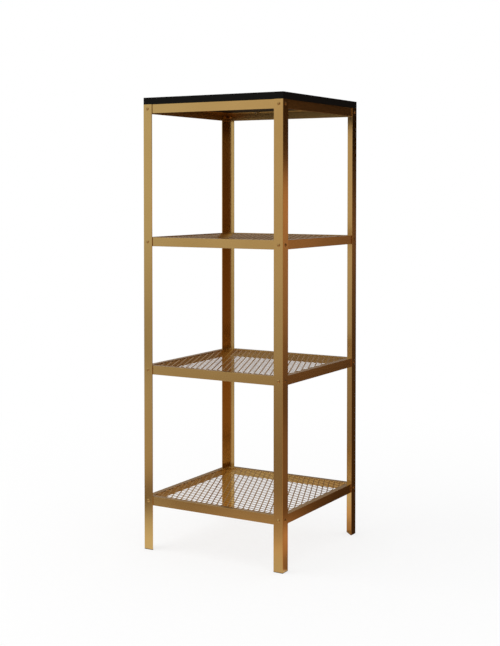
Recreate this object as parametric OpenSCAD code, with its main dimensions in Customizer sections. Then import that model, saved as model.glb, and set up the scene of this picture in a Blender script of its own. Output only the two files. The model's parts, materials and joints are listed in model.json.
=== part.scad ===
/* [Overall size] */
// Width of the footprint, left to right, over the leg faces
frame_w = 400; // [300:1:600]
// Depth of the footprint, front to back, over the leg faces
frame_d = 400; // [300:1:600]
// Height from the floor to the top of the board
total_h = 1140; // [950:1:1500]

/* [Shelf heights] */
// Height of the lower shelf's top face above the floor
lower_top = 135.6; // [60:0.1:300]
// Height of the middle shelf's top face above the floor
middle_top = 467.6; // [350:0.1:600]
// Height of the upper shelf's top face above the floor
upper_top = 790.4; // [650:0.1:880]

/* [Legs] */
// Width of each flange of the angle section, over the corner
leg_flange = 25.4; // [22:0.1:45]
// Wall thickness of the angle section
leg_wall = 2; // [1:0.1:4]
// Outside radius of the section's corner
leg_corner_r = 1.2; // [0.2:0.1:2]
// Thickness of the corner plate welded into the bottom of each leg
foot_t = 3; // [1:0.1:10]

/* [Shelf rails] */
// Height of a rail's upright web
rail_h = 22.4; // [20.8:0.1:40]
// Width of a rail's top flange, over the web
rail_flange = 15; // [12:0.1:30]
// Wall thickness of a rail
rail_wall = 1.6; // [1:0.1:3]

/* [Expanded metal sheets] */
// Thickness of the flattened sheet
sheet_t = 1; // [0.6:0.1:2]
// Spacing of the knots along a row, left to right
knot_pitch_w = 15; // [12:0.1:30]
// Spacing of the knots along a row, front to back
knot_pitch_d = 34.7; // [30:0.1:60]
// Width of a knot, where two strands meet
knot_w = 3.8; // [2:0.1:6]
// Length of a knot, front to back
knot_l = 2.3; // [1:0.1:8]
// Clearance between a sheet's edge and the rail's web
sheet_edge_gap = 0.5; // [0.2:0.1:3]

/* [Top board] */
// Thickness of the board
board_t = 17; // [14:0.1:30]
// Radius of the board's upright corners
board_corner_r = 1.2; // [0.2:0.1:10]

/* [Frame bolts] */
// Diameter of the shank
bolt_d = 5; // [3:0.1:5]
// Diameter of the domed head
bolt_head_d = 8.5; // [7:0.1:10]
// Height of the domed head
bolt_head_h = 2.2; // [1.8:0.1:3.5]
// Width across the flats of the key socket
socket_af = 3; // [2:0.1:4]
// Depth of the key socket
socket_depth = 1.3; // [0.5:0.1:1.6]
// Width across the flats of the nut
nut_af = 8; // [7:0.1:8.4]
// Height of the nut
nut_h = 4; // [2:0.1:4.5]
// Clearance between one bolt's nut and the end of the other bolt's nut, round a corner
nut_gap = 0.7; // [0.3:0.1:2]
// Length of shank that stands out of the nut
bolt_tip = 0.6; // [0.1:0.1:1]
// Radial play of a shank in its hole
bolt_play = 0.2; // [0.05:0.05:0.5]

/* [Board screws] */
// Diameter of the screw's shank
screw_d = 4; // [2.5:0.1:5]
// Diameter of the screw's head
screw_head_d = 7.5; // [5.5:0.1:9]
// Height of the screw's head
screw_head_h = 2.4; // [1:0.1:4]
// Depth that a screw reaches into the board
screw_reach = 10; // [5:0.1:12]
// Depth of the pilot hole past the screw's end
pilot_spare = 1; // [0.5:0.1:2]
// Distance of a screw from the middle of its rail
screw_offset = 100; // [40:1:120]
// Radial play of a screw in its hole
screw_play = 0.1; // [0.05:0.05:0.4]

/* [Hidden] */
BRASS = [0.72, 0.56, 0.33];
DARK_BRASS = [0.55, 0.42, 0.24];
BLACK = [0.07, 0.07, 0.07];
ROUND = 32;
// How far a cutting body runs past the face that it cuts
CUT = 1;

leg_h = total_h - board_t;
top_rail_top = leg_h;
LEVEL_NAMES = ["lower", "middle", "upper", "top"];
LEVEL_TOPS = [lower_top, middle_top, upper_top, top_rail_top];

// Each corner: name, side in x, side in y, turn of a piece drawn at the front left
CORNERS = [
    ["front_left", -1, -1, 0],
    ["front_right", 1, -1, 90],
    ["back_right", 1, 1, 180],
    ["back_left", -1, 1, 270],
];
// Each side: name, direction outwards in x and y, turn of a rail drawn at the front
SIDES = [
    ["front", 0, -1, 0],
    ["right", 1, 0, 90],
    ["back", 0, 1, 180],
    ["left", -1, 0, 270],
];

// Where the shank comes through, and its place from the leg's outer corner
grip = leg_wall + rail_wall;
bolt_inset = grip + nut_h + nut_gap + nut_af / 2;
function bolt_z(top) = top - rail_h / 2;
// Outer length of the rails on a front or back side, or on a left or right side
function rail_len(side) = (side[1] == 0 ? frame_w : frame_d) - 2 * leg_wall;
// A screw sits in the middle of the part of the flange that the web leaves free
screw_inset = (rail_wall + rail_flange) / 2;

module to_corner(corner) {
    translate([corner[1] * frame_w / 2, corner[2] * frame_d / 2, 0])
        rotate([0, 0, corner[3]]) children();
}

// Puts a piece drawn along x, centred, with its outer face at y = 0, against the legs of a side
module to_side(side) {
    translate([side[1] * (frame_w / 2 - leg_wall), side[2] * (frame_d / 2 - leg_wall), 0])
        rotate([0, 0, side[3]]) children();
}

// The two bolt axes of a corner at one level, each pointing into the object along +z
module bolt_axes(z) {
    translate([bolt_inset, 0, z]) rotate([-90, 0, 0]) children();
    translate([0, bolt_inset, z]) rotate([0, 90, 0]) rotate([0, 0, 90]) children();
}

module leg_section() {
    difference() {
        union() {
            square([leg_flange, leg_wall]);
            square([leg_wall, leg_flange]);
        }
        difference() {
            square(leg_corner_r);
            translate([leg_corner_r, leg_corner_r]) circle(r = leg_corner_r, $fn = ROUND);
        }
    }
}

module leg(corner) {
    color(BRASS) to_corner(corner) difference() {
        linear_extrude(height = leg_h) leg_section();
        for (top = LEVEL_TOPS) bolt_axes(bolt_z(top))
            translate([0, 0, -CUT])
                cylinder(r = bolt_d / 2 + bolt_play, h = leg_wall + 2 * CUT, $fn = ROUND);
    }
}

module foot_plate(corner) {
    color(BRASS) to_corner(corner) linear_extrude(height = foot_t)
        polygon([[leg_wall, leg_wall], [leg_flange, leg_wall], [leg_wall, leg_flange]]);
}

// Flat bar with its ends cut at 45 degrees, its long edge at y = 0
module mitred_bar(len, width, height) {
    linear_extrude(height = height) polygon([
        [-len / 2, 0], [len / 2, 0], [len / 2 - width, width], [-len / 2 + width, width]
    ]);
}

module rail(side, level) {
    len = rail_len(side);
    top = LEVEL_TOPS[level];
    screwed = LEVEL_NAMES[level] == "top" && side[1] == 0;
    color(BRASS) to_side(side) difference() {
        union() {
            translate([0, 0, top - rail_h]) mitred_bar(len, rail_wall, rail_h);
            translate([0, 0, top - rail_wall]) mitred_bar(len, rail_flange, rail_wall);
        }
        for (end = [-1, 1])
            translate([end * (len / 2 + leg_wall - bolt_inset), -CUT, bolt_z(top)]) rotate([-90, 0, 0])
                cylinder(r = bolt_d / 2 + bolt_play, h = rail_wall + 2 * CUT, $fn = ROUND);
        if (screwed) for (end = [-1, 1])
            translate([end * screw_offset, screw_inset, top - rail_wall - CUT])
                cylinder(r = screw_d / 2 + screw_play, h = rail_wall + 2 * CUT, $fn = ROUND);
    }
}

// Diamond openings in rows, every second row half a pitch to the side, round a knot at the middle of the sheet
module openings(width, depth) {
    opening_w = knot_pitch_w - knot_w;
    opening_d = knot_pitch_d - knot_l;
    columns = floor((width + opening_w) / knot_pitch_w);
    rows = floor((depth + opening_d) / knot_pitch_d);
    for (i = [-columns : columns], j = [-rows : rows]) if ((i + j) % 2 != 0)
        translate([i * knot_pitch_w / 2, j * knot_pitch_d / 2])
            polygon([[-opening_w / 2, 0], [0, -opening_d / 2], [opening_w / 2, 0], [0, opening_d / 2]]);
}

// Expanded metal, cut to fit between the rails' webs and held up against the undersides of their flanges
module mesh(level) {
    width = frame_w - 2 * (grip + sheet_edge_gap);
    depth = frame_d - 2 * (grip + sheet_edge_gap);
    color(DARK_BRASS) translate([0, 0, LEVEL_TOPS[level] - rail_wall - sheet_t])
        linear_extrude(height = sheet_t) difference() {
            square([width, depth], center = true);
            openings(width, depth);
        }
}

module bolt() {
    dome_r = (pow(bolt_head_d / 2, 2) + pow(bolt_head_h, 2)) / (2 * bolt_head_h);
    difference() {
        intersection() {
            translate([0, 0, dome_r - bolt_head_h]) sphere(r = dome_r, $fn = ROUND);
            translate([0, 0, -bolt_head_h]) cylinder(d = bolt_head_d, h = bolt_head_h, $fn = ROUND);
        }
        translate([0, 0, -bolt_head_h - CUT])
            cylinder(d = socket_af / cos(30), h = socket_depth + CUT, $fn = 6);
    }
    cylinder(d = bolt_d, h = grip + nut_h + bolt_tip, $fn = ROUND);
}

module bolts(level) {
    color(BRASS) for (c = CORNERS) to_corner(c) bolt_axes(bolt_z(LEVEL_TOPS[level])) bolt();
}

module nut() {
    translate([0, 0, grip]) difference() {
        cylinder(d = nut_af / cos(30), h = nut_h, $fn = 6);
        translate([0, 0, -CUT]) cylinder(r = bolt_d / 2 + bolt_play, h = nut_h + 2 * CUT, $fn = ROUND);
    }
}

module nuts(level) {
    color(DARK_BRASS) for (c = CORNERS) to_corner(c) bolt_axes(bolt_z(LEVEL_TOPS[level])) nut();
}

module board_screw_places() {
    for (side = SIDES) if (side[1] == 0) to_side(side)
        for (end = [-1, 1]) translate([end * screw_offset, screw_inset, leg_h]) children();
}

module board_screws() {
    color(DARK_BRASS) board_screw_places() {
        translate([0, 0, -rail_wall - screw_head_h])
            cylinder(d = screw_head_d, h = screw_head_h, $fn = ROUND);
        translate([0, 0, -rail_wall]) cylinder(d = screw_d, h = rail_wall + screw_reach, $fn = ROUND);
    }
}

module board_outline() {
    difference() {
        square([frame_w, frame_d], center = true);
        for (c = CORNERS) to_corner(c) difference() {
            square(board_corner_r);
            translate([board_corner_r, board_corner_r]) circle(r = board_corner_r, $fn = ROUND);
        }
    }
}

module top_board() {
    color(BLACK) difference() {
        translate([0, 0, leg_h]) linear_extrude(height = board_t) board_outline();
        board_screw_places() translate([0, 0, -CUT])
            cylinder(r = screw_d / 2 + screw_play, h = CUT + screw_reach + pilot_spare, $fn = ROUND);
    }
}

for (c = CORNERS) {
    leg(c);
    foot_plate(c);
}
for (i = [0 : 3], s = SIDES)
    rail(s, i);
for (i = [0 : 2])
    mesh(i);
for (i = [0 : 3]) {
    bolts(i);
    nuts(i);
}
board_screws();
top_board();
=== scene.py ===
import json
import math

import bmesh
import bpy
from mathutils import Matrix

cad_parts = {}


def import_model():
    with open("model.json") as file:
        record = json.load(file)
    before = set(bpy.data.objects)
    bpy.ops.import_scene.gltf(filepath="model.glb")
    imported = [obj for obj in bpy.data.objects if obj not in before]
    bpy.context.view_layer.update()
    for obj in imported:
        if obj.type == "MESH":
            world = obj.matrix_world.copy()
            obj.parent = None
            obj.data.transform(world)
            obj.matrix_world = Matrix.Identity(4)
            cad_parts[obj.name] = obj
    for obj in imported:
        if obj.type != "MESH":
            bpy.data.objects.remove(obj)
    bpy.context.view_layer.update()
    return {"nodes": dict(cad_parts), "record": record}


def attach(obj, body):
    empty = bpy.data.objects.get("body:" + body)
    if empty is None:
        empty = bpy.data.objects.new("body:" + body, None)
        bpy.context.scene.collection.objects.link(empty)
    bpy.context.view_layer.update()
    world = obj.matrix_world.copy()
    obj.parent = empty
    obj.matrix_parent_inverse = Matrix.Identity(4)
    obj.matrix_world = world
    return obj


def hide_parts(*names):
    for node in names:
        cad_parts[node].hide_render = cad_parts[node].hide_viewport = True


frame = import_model()

NODES = frame["nodes"]
BODY = "root"
FINISH = {part["node"]: part["material_slot"] for part in frame["record"]["subparts"]}

# The camera, in metres and degrees: where the photograph was taken from
CAMERA_AT = (1.5816, -2.7145, 0.9076)
CAMERA_AZIMUTH = 30.658
CAMERA_PITCH = 1.8
CAMERA_LENS_MM = 68.081
CAMERA_SHIFT = (0.01050, -0.14561)

# The expanded metal of the shelves, in metres: half the spacing of the knots and the size of an opening
KNOT_COLUMN = 0.0075
KNOT_ROW = 0.01735
OPENING_W = 0.0112
OPENING_D = 0.0324
STRAND_EASE = 0.00015
# How far a strand's right edge lies below its left edge, as slitting and stretching leave it
STRAND_ROLL = 0.0004
STRAND_SIDES = 8
# Two points of a piece that are nearer than this are one, in metres
SAME_POINT = 0.00001

# The rounding of the long edges, in metres, and which edges it takes
METAL_EASE = 0.0004
BOARD_EASE = 0.0006
EASE_SEGMENTS = 3
FLAT_ANGLE = math.radians(1)
SHARP_ANGLE = math.radians(40)
LONG_EDGE = 0.004

# The brushing of the metal: how often it changes in a metre, across the streaks and along them
BRUSH_ACROSS = 900.0
BRUSH_ALONG = 14.0

# The painted shade at the foot of a leg, where it meets the floor: how far it reaches up, in metres, the
# share of that at its full strength, its colour, and how much rougher it is than the plating
FOOT_SHADE_HEIGHT = 0.0018
FOOT_SHADE_FULL = 0.6
FOOT_SHADE_SRGB = (84, 70, 42)
FOOT_SHADE_ROUGHNESS = 0.3

# The floor, in metres: it fades from paint to plain white, and FADE_LEAST is the white in it at the feet
FLOOR_RADIUS = 60.0
FLOOR_HOLE = 0.0001
FLOOR_RINGS = 24
FLOOR_DROP = 0.0002
FADE_START = 0.35
FADE_END = 2.0
FADE_LEAST = 0.74
FADE_WHOLE = 0.999

# The studio round the object, in metres, and how bright the world is as light
ROOM_RADIUS = 4.0
WALL_HEIGHT = 1.8
DOME_RISE = 2.2
DOME_RINGS = 12
RING_LIFT = 0.0006
ROOM_HOLE = 0.001
LATHE_SEGMENTS = 96
AMBIENT = 0.86

# Sectors of the studio: middle, half width and soft edge, in degrees from the back towards the right
BACK = (4.0, 19.0, 6.0)
RIGHT = (75.0, 53.0, 5.0)
FRONT_RIGHT = (149.0, 14.0, 10.0)
FRONT_LEFT = (-165.0, 14.0, 8.0)
FRONT_LEFT_STREAK = (-152.5, 3.0, 5.0)
LEFT_STREAK = (-127.0, 8.0, 5.0)
LEFT = (-105.0, 34.0, 14.0)
BACK_LEFT_STREAK = (-42.0, 8.0, 10.0)
BACK_LEFT = (-32.0, 18.0, 14.0)

# The line that parts the right sector runs from the object towards the back right, and its soft edge
# starts and ends this far to its right, in metres
STRIP_X, STRIP_Y = math.sin(math.radians(27.1)), math.cos(math.radians(27.1))
STRIP_START = 0.14
STRIP_END = 0.25


def srgb(red, green, blue):
    """A colour written as 0 to 255 sRGB values, as the linear RGBA that Blender's sockets take."""
    def linear(value):
        value /= 255.0
        return value / 12.92 if value <= 0.04045 else ((value + 0.055) / 1.055) ** 2.4
    return (linear(red), linear(green), linear(blue), 1.0)


class Graph:
    """Short calls for building a node tree."""

    def __init__(self, tree):
        self.tree = tree
        tree.nodes.clear()

    def add(self, kind, inputs=None, **settings):
        node = self.tree.nodes.new(kind)
        for name, value in settings.items():
            setattr(node, name, value)
        for name, value in (inputs or {}).items():
            socket = node.inputs[name]
            if isinstance(value, bpy.types.NodeSocket):
                self.tree.links.new(value, socket)
            else:
                socket.default_value = value
        return node

    def math(self, operation, a, b=0.0):
        return self.add("ShaderNodeMath", {0: a, 1: b}, operation=operation).outputs[0]

    def ramp(self, factor, stops):
        node = self.add("ShaderNodeValToRGB", {"Fac": factor})
        ramp = node.color_ramp
        while len(ramp.elements) < len(stops):
            ramp.elements.new(0.5)
        for element, (position, colour) in zip(ramp.elements, stops):
            element.position = position
            element.color = colour
        return node.outputs["Color"]

    def mix(self, factor, a, b):
        """A mix of two colours. The mix node's colour sockets go by number, as their names aren't unique."""
        node = self.add("ShaderNodeMix", {"Factor": factor, 6: a, 7: b}, data_type="RGBA")
        return node.outputs[2]

    def place(self, scale=(1.0, 1.0, 1.0)):
        """Object coordinates in metres, stretched."""
        coords = self.add("ShaderNodeTexCoord").outputs["Object"]
        return self.add("ShaderNodeMapping", {"Vector": coords, "Scale": scale}).outputs["Vector"]

    def noise(self, vector, scale, detail=2.0, roughness=0.5):
        return self.add("ShaderNodeTexNoise", {
            "Vector": vector, "Scale": scale, "Detail": detail, "Roughness": roughness,
        }).outputs["Fac"]

    def bump(self, height, strength, distance, normal=None):
        inputs = {"Height": height, "Strength": strength, "Distance": distance}
        if normal is not None:
            inputs["Normal"] = normal
        return self.add("ShaderNodeBump", inputs).outputs["Normal"]


def new_material(name):
    material = bpy.data.materials.new(name)
    material.use_nodes = True
    return material, Graph(material.node_tree)


def grey(value):
    return (value, value, value, 1.0)


def brass(name, bright, deep, roughness, along, shade_end=0.0):
    """Satin brass plating, brushed along one axis: 0, 1 or 2 for x, y or z.

    The foot gets painted shade, darker and rougher, up to the last argument's height above the floor.
    """
    material, graph = new_material(name)
    stretch = [BRUSH_ACROSS] * 3
    stretch[along] = BRUSH_ALONG
    streaks = graph.noise(graph.place(stretch), 1.0, detail=3.0)
    cloud = graph.noise(graph.place(), 9.0, detail=2.0)
    tone = graph.math("ADD", graph.math("MULTIPLY", streaks, 0.45), graph.math("MULTIPLY", cloud, 0.55))
    colour = graph.ramp(tone, [(0.25, srgb(*deep)), (0.75, srgb(*bright))])
    rough = graph.math("ADD", graph.math("MULTIPLY", streaks, 0.10), roughness - 0.05)
    # Painted shade where the leg stands on the floor: dark at the bottom, fading out upwards
    if shade_end > 0.0:
        height = graph.add("ShaderNodeSeparateXYZ", {0: graph.place()}).outputs["Z"]
        foot_shade = graph.add("ShaderNodeMapRange", {
            "Value": height, "From Min": FOOT_SHADE_FULL * shade_end, "From Max": shade_end,
            "To Min": 1.0, "To Max": 0.0,
        }).outputs["Result"]
        colour = graph.mix(foot_shade, colour, srgb(*FOOT_SHADE_SRGB))
        rough = graph.math("ADD", rough, graph.math("MULTIPLY", foot_shade, FOOT_SHADE_ROUGHNESS))
    wave = graph.bump(graph.noise(graph.place((1.0, 1.0, 0.55)), 7.0, detail=1.0), 0.10, 0.004)
    normal = graph.bump(streaks, 0.03, 0.0002, wave)
    shader = graph.add("ShaderNodeBsdfPrincipled", {
        "Base Color": colour, "Metallic": 1.0, "Roughness": rough, "Normal": normal,
    })
    graph.add("ShaderNodeOutputMaterial", {"Surface": shader.outputs[0]})
    return material


def black_laminate(name):
    """Matte black board facing with a fine pressed grain."""
    material, graph = new_material(name)
    grain = graph.noise(graph.place((60.0, 900.0, 900.0)), 1.0, detail=4.0, roughness=0.6)
    fleck = graph.noise(graph.place(), 420.0, detail=2.0)
    tone = graph.math("ADD", graph.math("MULTIPLY", grain, 0.6), graph.math("MULTIPLY", fleck, 0.4))
    colour = graph.ramp(tone, [(0.35, srgb(12, 11, 10)), (0.65, srgb(21, 20, 18))])
    rough = graph.math("ADD", graph.math("MULTIPLY", fleck, 0.16), 0.50)
    normal = graph.bump(tone, 0.25, 0.0003)
    shader = graph.add("ShaderNodeBsdfPrincipled", {
        "Base Color": colour, "Roughness": rough, "Normal": normal, "Specular IOR Level": 0.04,
    })
    graph.add("ShaderNodeOutputMaterial", {"Surface": shader.outputs[0]})
    return material


def zinc(name):
    """Bright zinc plating on the board screws."""
    material, graph = new_material(name)
    spangle = graph.noise(graph.place(), 900.0, detail=2.0)
    colour = graph.ramp(spangle, [(0.3, srgb(128, 126, 120)), (0.7, srgb(168, 166, 160))])
    shader = graph.add("ShaderNodeBsdfPrincipled", {
        "Base Color": colour, "Metallic": 1.0,
        "Roughness": graph.math("ADD", graph.math("MULTIPLY", spangle, 0.15), 0.25),
        "Normal": graph.bump(spangle, 0.15, 0.0001),
    })
    graph.add("ShaderNodeOutputMaterial", {"Surface": shader.outputs[0]})
    return material


def dress_nodes():
    """Gives every CAD node the finish of its material slot, brushed along its own length."""
    bright, deep = (192, 164, 105), (182, 154, 96)
    rail_x = brass("rail_brass_x", bright, deep, 0.24, 0)
    rail_y = brass("rail_brass_y", bright, deep, 0.24, 1)
    # The legs carry painted shade at their feet, where they meet the floor
    leg_brass = brass("leg_brass", bright, deep, 0.17, 2, FOOT_SHADE_HEIGHT)
    mesh_brass = brass("mesh_brass", (204, 169, 87), (184, 149, 73), 0.27, 1)
    bolt_brass = brass("bolt_brass", (186, 156, 98), (166, 134, 80), 0.20, 2)
    fixed = {
        "legs": leg_brass,
        "foot_plates": rail_x,
        "mesh": mesh_brass,
        "bolts": bolt_brass,
        "nuts": bolt_brass,
        "screws": zinc("screw_zinc"),
        "board": black_laminate("black_laminate"),
    }
    for name, node in NODES.items():
        material = fixed.get(FINISH[name])
        if material is None:
            material = rail_x if name.endswith(("front", "back")) else rail_y
        for slot in node.material_slots:
            slot.material = material


def new_piece(name, points, faces):
    """An object in the scene from points in metres and faces of point numbers."""
    mesh = bpy.data.meshes.new(name)
    mesh.from_pydata(points, [], faces)
    mesh.update()
    piece = bpy.data.objects.new(name, mesh)
    bpy.context.scene.collection.objects.link(piece)
    return piece


def node_box(name):
    """Lowest and highest corner of a CAD node, in metres."""
    corners = [vertex.co for vertex in NODES[name].data.vertices]
    return [[pick(corner[i] for corner in corners) for i in range(3)] for pick in (min, max)]


def eased_copy(name, width):
    """A CAD node with its long outer edges slightly rounded."""
    node = NODES[name]
    work = bmesh.new()
    work.from_mesh(node.data)
    bmesh.ops.remove_doubles(work, verts=work.verts, dist=SAME_POINT)
    bmesh.ops.dissolve_limit(work, angle_limit=FLAT_ANGLE, verts=work.verts, edges=work.edges)
    edges = [edge for edge in work.edges if edge.is_manifold and edge.is_convex
             and edge.calc_face_angle() > SHARP_ANGLE and edge.calc_length() > LONG_EDGE]
    bmesh.ops.bevel(work, geom=edges, offset=width, offset_type="OFFSET",
                    segments=EASE_SEGMENTS, profile=0.5, affect="EDGES")
    for face in work.faces:
        face.smooth = False
    mesh = bpy.data.meshes.new("eased_" + name)
    work.to_mesh(mesh)
    work.free()
    for slot in node.material_slots:
        mesh.materials.append(slot.material)
    piece = bpy.data.objects.new("eased_" + name, mesh)
    bpy.context.scene.collection.objects.link(piece)
    return piece


def strand_faces(first, count):
    """Faces of a closed strand from its rings of points: the first ring's number, and how many rings."""
    sides = STRAND_SIDES
    faces = []
    for ring in range(first, first + count - 1):
        for k in range(sides):
            a = ring * sides + k
            b = ring * sides + (k + 1) % sides
            faces.append((a, b, b + sides, a + sides))
    faces.append([first * sides + k for k in reversed(range(sides))])
    faces.append([(first + count - 1) * sides + k for k in range(sides)])
    return faces


def half_opening(column, y):
    """Half the width at y of the opening in one column of the expanded metal, or 0 beside a knot."""
    row = round((y / KNOT_ROW - (column + 1) % 2) / 2) * 2 + (column + 1) % 2
    return max(0.0, OPENING_W / 2 * (1.0 - abs(y - row * KNOT_ROW) / (OPENING_D / 2)))


def expanded_sheet(name, node):
    """The strands of an expanded metal sheet. Each runs along y and swings from knot to knot."""
    (x0, y0, z0), (x1, y1, z1) = node_box(node)
    columns = int(x1 / KNOT_COLUMN)
    rows = int(y1 / KNOT_ROW)
    bond = KNOT_ROW - OPENING_D / 2
    stops = [row * KNOT_ROW + step for row in range(-rows, rows + 1) for step in (-bond, 0.0, bond)]
    stops = [y0] + stops + [y1]
    points = []
    faces = []
    for k in range(-columns, columns):
        first = len(points) // STRAND_SIDES
        for y in stops:
            gap_left, gap_right = half_opening(k, y), half_opening(k + 1, y)
            left, right = k * KNOT_COLUMN + gap_left, (k + 1) * KNOT_COLUMN - gap_right
            ease_left = min(STRAND_EASE, gap_left + SAME_POINT)
            ease_right = min(STRAND_EASE, gap_right + SAME_POINT)
            points += [
                (left + ease_left, y, z0 + STRAND_ROLL), (right - ease_right, y, z0),
                (right, y, z0 + STRAND_EASE), (right, y, z1 - STRAND_ROLL - STRAND_EASE),
                (right - ease_right, y, z1 - STRAND_ROLL), (left + ease_left, y, z1),
                (left, y, z1 - STRAND_EASE), (left, y, z0 + STRAND_ROLL + STRAND_EASE),
            ]
        faces += strand_faces(first, len(stops))
    return new_piece(name, points, faces)


def lathe(name, profile):
    """Surface of revolution about z from (radius, height) points."""
    segments = LATHE_SEGMENTS
    points = []
    faces = []
    for radius, height in profile:
        for k in range(segments):
            angle = 2 * math.pi * k / segments
            points.append((radius * math.cos(angle), radius * math.sin(angle), height))
    for row in range(len(profile) - 1):
        for k in range(segments):
            a = row * segments + k
            b = row * segments + (k + 1) % segments
            faces.append((a, b, b + segments, a + segments))
    return new_piece(name, points, faces)


def only_in_reflections(piece):
    piece.visible_camera = False
    piece.visible_diffuse = False
    piece.visible_transmission = False
    piece.visible_volume_scatter = False
    piece.visible_shadow = False


def patch_colour(level, warmth):
    """The colour of one patch of the studio: how bright it is, and how brown against white."""
    red, green, blue = (level * (1.0 + tint * warmth) for tint in (0.64, -0.14, -0.52))
    return (red, green, blue, 1.0)


def position(graph):
    """Where a point of the studio is: x, y, z, degrees from the back towards the right, and radius."""
    coords = graph.add("ShaderNodeTexCoord").outputs["Object"]
    x, y, z = graph.add("ShaderNodeSeparateXYZ", {0: coords}).outputs
    azimuth = graph.math("MULTIPLY", graph.math("ARCTAN2", x, y), 180.0 / math.pi)
    square = graph.math("ADD", graph.math("MULTIPLY", x, x), graph.math("MULTIPLY", y, y))
    return x, y, z, azimuth, graph.math("SQRT", square)


def inside(graph, azimuth, sector):
    """1 in a sector of the studio, and 0 beyond its soft edge."""
    centre, half, soft = sector
    away = graph.math("ABSOLUTE", graph.math("SUBTRACT", azimuth, centre))
    node = graph.add("ShaderNodeMapRange", {
        "Value": away, "From Min": half, "From Max": half + soft, "To Min": 1.0, "To Max": 0.0,
    }, interpolation_type="SMOOTHSTEP")
    return node.outputs["Result"]


def right_of_strip(graph, x, y):
    """1 to the right of the line that parts the right sector, and 0 to its left."""
    across = graph.math(
        "SUBTRACT", graph.math("MULTIPLY", x, STRIP_Y), graph.math("MULTIPLY", y, STRIP_X))
    node = graph.add("ShaderNodeMapRange", {
        "Value": across, "From Min": STRIP_START, "From Max": STRIP_END,
    }, interpolation_type="SMOOTHSTEP")
    return node.outputs["Result"]


def patches(graph, reach, length, everywhere, sectors, strip_left, strip_right):
    """Colour over the studio from runs of (metres, level, warmth) stops.

    The first run is everywhere, the sectors' runs lie over it in their order, and the last two fill the
    right sector, left and right of the strip line. They run along the height, or along the radius.
    """
    x, y, z, azimuth, radius = position(graph)
    along = graph.math("DIVIDE", radius if reach == "radius" else z, length)

    def run(stops):
        return graph.ramp(along, [
            (metres / length, patch_colour(level, warmth)) for metres, level, warmth in stops])

    colour = run(everywhere)
    for sector, stops in sectors:
        colour = graph.mix(inside(graph, azimuth, sector), colour, run(stops))
    pair = graph.mix(right_of_strip(graph, x, y), run(strip_left), run(strip_right))
    return graph.mix(inside(graph, azimuth, RIGHT), colour, pair)


def glow(piece, graph, material, colour):
    """Gives a piece of the studio its colour, as light that only the metal's reflections show."""
    shader = graph.add("ShaderNodeEmission", {"Color": colour, "Strength": 1.0})
    graph.add("ShaderNodeOutputMaterial", {"Surface": shader.outputs[0]})
    piece.data.materials.append(material)
    only_in_reflections(piece)
    return piece


def room():
    """The studio round the object, which shows only in the metal: bright on the left, dark on the right."""
    dome = [(ROOM_RADIUS * math.cos(a), WALL_HEIGHT + DOME_RISE * math.sin(a))
            for a in (math.pi / 2 * k / DOME_RINGS for k in range(DOME_RINGS))]
    piece = lathe("studio_room", [(ROOM_RADIUS, 0.0)] + dome + [(ROOM_HOLE, WALL_HEIGHT + DOME_RISE)])
    material, graph = new_material("studio_room")
    everywhere = [(0.00, 0.70, 0.2), (1.60, 0.75, 0.1), (3.80, 0.60, 0.0)]
    colour = patches(graph, "height", WALL_HEIGHT + DOME_RISE, everywhere, [
        (LEFT, [
            (0.00, 0.38, 0.1), (0.14, 0.40, 0.1), (0.30, 0.52, 0.1), (0.39, 0.64, 0.0),
            (0.50, 0.78, 0.0), (0.66, 0.86, 0.0), (0.80, 0.92, 0.0), (3.00, 1.00, 0.0)]),
        (FRONT_LEFT, [
            (0.00, 0.60, 0.1), (0.30, 0.60, 0.2), (0.50, 0.72, 0.2), (1.42, 0.72, 0.2), (1.52, 0.90, 0.2),
            (3.00, 0.90, 0.0)]),
        (FRONT_RIGHT, [
            (0.00, 0.31, 1.0), (0.49, 0.24, 1.1), (0.83, 0.17, 1.1), (1.30, 0.05, 1.1), (1.42, 0.60, 0.4),
            (3.00, 0.60, 0.2)]),
        (BACK_LEFT, [
            (0.86, 0.02, 1.2), (0.94, 0.12, 0.6), (1.08, 0.14, 0.5), (1.15, 0.28, 0.3), (1.22, 0.40, 0.2),
            (1.42, 0.60, 0.2), (1.60, 0.64, 0.3), (1.76, 0.30, 0.3), (2.60, 0.12, 0.3), (3.80, 0.30, 0.3)]),
        (BACK_LEFT_STREAK, [
            (0.86, 0.02, 1.2), (0.94, 0.12, 0.6), (1.08, 0.14, 0.5), (1.15, 0.40, 0.3), (1.22, 0.60, 0.2),
            (1.42, 0.72, 0.2), (1.60, 0.66, 0.3), (1.76, 0.30, 0.3), (2.60, 0.12, 0.3), (3.80, 0.30, 0.3)]),
        (BACK, [
            (0.00, 0.22, 0.6), (0.36, 0.40, 0.3), (0.86, 0.40, 0.3), (1.10, 0.14, 0.7), (1.30, 0.10, 0.8),
            (2.20, 0.10, 0.8), (3.80, 0.20, 0.4)]),
    ], [
        (0.00, 0.02, 1.2), (0.28, 0.04, 1.2), (0.53, 0.075, 1.1), (0.71, 0.08, 1.1),
        (0.80, 0.01, 1.2), (0.88, 0.00, 1.2), (2.40, 0.00, 1.0), (3.80, 0.25, 0.3),
    ], [
        (0.00, 0.22, 0.9), (0.20, 0.33, 0.9), (0.60, 0.40, 0.9), (0.75, 0.54, 1.0), (0.88, 0.60, 1.0),
        (0.97, 0.40, 1.0), (1.03, 0.18, 1.0), (1.09, 0.04, 1.1), (2.40, 0.02, 1.0), (3.80, 0.25, 0.3),
    ])
    return glow(piece, graph, material, colour)


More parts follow.
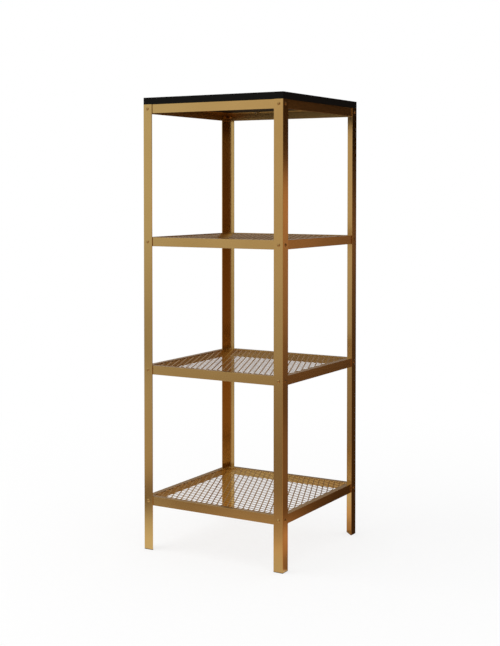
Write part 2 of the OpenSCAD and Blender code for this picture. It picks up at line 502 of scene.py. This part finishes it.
def floor_ring():
    """The floor as the metal shows it: white at the feet and duller further out, and brown on the right."""
    piece = lathe("studio_ring", [(ROOM_HOLE, RING_LIFT), (ROOM_RADIUS, RING_LIFT)])
    material, graph = new_material("studio_ring")
    everywhere = [
        (0.20, 1.16, 0.1), (0.36, 0.76, 0.4), (0.43, 0.64, 0.4), (0.51, 0.54, 0.4), (0.90, 0.50, 0.4),
        (4.00, 0.70, 0.2)]
    colour = patches(graph, "radius", ROOM_RADIUS, everywhere, [
        (LEFT, [
            (0.36, 1.04, 0.1), (0.55, 0.80, 0.1), (0.65, 0.50, 0.2), (0.73, 0.19, 0.4), (0.90, 0.14, 0.4),
            (1.04, 0.50, 0.3), (1.43, 0.67, 0.2), (2.38, 0.66, 0.1), (2.89, 0.80, 0.1), (3.50, 0.42, 0.1),
            (4.00, 0.36, 0.1)]),
        (FRONT_LEFT, [
            (0.30, 0.84, 0.3), (0.40, 0.72, 0.3), (0.54, 0.46, 0.5), (0.72, 0.36, 0.5), (0.97, 0.26, 0.4),
            (1.80, 0.35, 0.4), (3.03, 0.37, 0.3), (3.25, 0.60, 0.2), (4.00, 0.60, 0.2)]),
        (FRONT_LEFT_STREAK, [
            (0.30, 0.84, 0.3), (0.40, 0.72, 0.3), (0.54, 0.44, 0.5), (0.66, 0.26, 0.5), (0.72, 0.26, 0.4),
            (1.20, 0.34, 0.4), (1.60, 0.38, 0.4), (2.10, 0.33, 0.4), (2.70, 0.35, 0.4), (3.25, 0.55, 0.2),
            (4.00, 0.62, 0.2)]),
        (LEFT_STREAK, [
            (0.36, 1.04, 0.1), (0.57, 0.80, 0.2), (0.66, 0.56, 0.2), (0.81, 0.67, 0.3), (1.16, 0.76, 0.2),
            (1.58, 0.88, 0.2), (2.10, 0.72, 0.2), (2.65, 0.76, 0.1), (3.48, 0.70, 0.1), (4.00, 0.60, 0.1)]),
        (FRONT_RIGHT, [
            (0.30, 0.80, 0.2), (0.40, 0.80, 0.4), (0.50, 0.75, 0.6), (1.11, 0.43, 0.8), (2.00, 0.46, 0.9),
            (4.00, 0.33, 1.0)]),
        (BACK_LEFT, [(0.22, 1.00, 0.4), (0.30, 0.60, 0.5), (1.00, 0.40, 0.5), (4.00, 0.36, 0.5)]),
        (BACK, [(0.20, 0.40, 0.6), (0.60, 0.30, 0.6), (4.00, 0.22, 0.6)]),
    ], [
        (0.11, 0.78, 0.5), (0.18, 0.50, 0.6), (0.25, 0.42, 0.8), (0.275, 0.04, 1.1), (0.72, 0.04, 1.2),
        (1.47, 0.035, 1.2), (4.00, 0.03, 1.2),
    ], [
        (0.23, 0.70, 0.5), (0.26, 0.20, 1.0), (0.2715, 0.22, 1.0), (0.2745, 0.40, 1.0), (0.36, 0.50, 1.0),
        (0.44, 0.32, 1.0), (0.50, 0.15, 1.1), (0.65, 0.13, 1.1), (0.84, 0.18, 1.0), (1.63, 0.20, 1.0),
        (2.04, 0.12, 1.0), (2.76, 0.12, 1.0), (4.00, 0.22, 0.9),
    ])
    return glow(piece, graph, material, colour)


def floor():
    """Plain pale floor, which runs out into the white of the background."""
    radii = [FLOOR_HOLE] + [FLOOR_RADIUS * (k / FLOOR_RINGS) ** 2 for k in range(1, FLOOR_RINGS + 1)]
    piece = lathe("studio_floor", [(radius, -FLOOR_DROP) for radius in radii])
    material, graph = new_material("studio_floor")
    *_, radius = position(graph)
    speck = graph.noise(graph.place(), 60.0, detail=3.0)
    colour = graph.ramp(speck, [(0.3, grey(0.945)), (0.7, grey(0.965))])
    paint = graph.add("ShaderNodeBsdfDiffuse", {"Color": colour})
    white = graph.add("ShaderNodeEmission", {"Color": grey(1.0), "Strength": 1.0})
    fade = graph.add("ShaderNodeMapRange", {
        "Value": radius, "From Min": FADE_START, "From Max": FADE_END, "To Min": FADE_LEAST,
    }, interpolation_type="SMOOTHSTEP").outputs["Result"]
    camera_ray = graph.add("ShaderNodeLightPath").outputs["Is Camera Ray"]
    far = graph.math("GREATER_THAN", fade, FADE_WHOLE)
    lit = graph.math("MULTIPLY", fade, graph.math("MAXIMUM", camera_ray, far))
    shader = graph.add("ShaderNodeMixShader", {0: lit, 1: paint.outputs[0], 2: white.outputs[0]})
    graph.add("ShaderNodeOutputMaterial", {"Surface": shader.outputs[0]})
    piece.data.materials.append(material)
    # The metal shows the studio's ring in its place
    piece.visible_glossy = False
    return piece


def world():
    """White to the camera, and softer as light. The metal shows the studio's room in its place."""
    scene_world = bpy.data.worlds.new("studio_white")
    scene_world.use_nodes = True
    graph = Graph(scene_world.node_tree)
    path = graph.add("ShaderNodeLightPath")
    seen = graph.math("MAXIMUM", path.outputs["Is Camera Ray"], path.outputs["Is Glossy Ray"])
    seen = graph.math("MAXIMUM", seen, path.outputs["Is Transmission Ray"])
    strength = graph.math("ADD", graph.math("MULTIPLY", seen, 1.0 - AMBIENT), AMBIENT)
    back = graph.add("ShaderNodeBackground", {"Color": grey(1.0), "Strength": strength})
    graph.add("ShaderNodeOutputWorld", {"Surface": back.outputs[0]})
    # Without this, light sampling still adds the white behind the room to the metal's dark faces
    scene_world.cycles_visibility.glossy = False
    bpy.context.scene.world = scene_world


def lamp(name, at, aim, size, watts):
    """A round area lamp at a place, turned to a point. It doesn't show in the metal."""
    data = bpy.data.lights.new(name, "AREA")
    data.shape = "DISK"
    data.size = size
    data.energy = watts
    piece = bpy.data.objects.new(name, data)
    piece.location = at
    direction = [a - b for a, b in zip(aim, at)]
    yaw = math.atan2(direction[1], direction[0])
    pitch = math.atan2(direction[2], math.hypot(direction[0], direction[1]))
    piece.rotation_euler = (math.pi / 2 + pitch, 0.0, yaw - math.pi / 2)
    piece.visible_glossy = False
    bpy.context.scene.collection.objects.link(piece)


def camera():
    """The camera that took the photograph, as far as its straight edges tell."""
    data = bpy.data.cameras.new("camera")
    data.lens = CAMERA_LENS_MM
    data.shift_x, data.shift_y = CAMERA_SHIFT
    piece = bpy.data.objects.new("camera", data)
    piece.location = CAMERA_AT
    piece.rotation_euler = (math.radians(90.0 - CAMERA_PITCH), 0.0, math.radians(CAMERA_AZIMUTH))
    bpy.context.scene.collection.objects.link(piece)
    bpy.context.scene.camera = piece


dress_nodes()
for level in ("lower", "middle", "upper"):
    sheet = expanded_sheet("shelf_sheet_" + level, "mesh_" + level)
    sheet.data.materials.append(bpy.data.materials["mesh_brass"])
    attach(sheet, BODY)
    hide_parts("mesh_" + level)
for name, finish in FINISH.items():
    if finish in ("legs", "rails", "board"):
        piece = eased_copy(name, BOARD_EASE if finish == "board" else METAL_EASE)
        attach(piece, BODY)
        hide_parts(name)
floor()
room()
floor_ring()
world()
lamp("key", at=(-1.6, -1.6, 3.2), aim=(0.0, 0.0, 0.4), size=3.0, watts=35.0)
camera()
bpy.context.scene.view_settings.view_transform = "Standard"
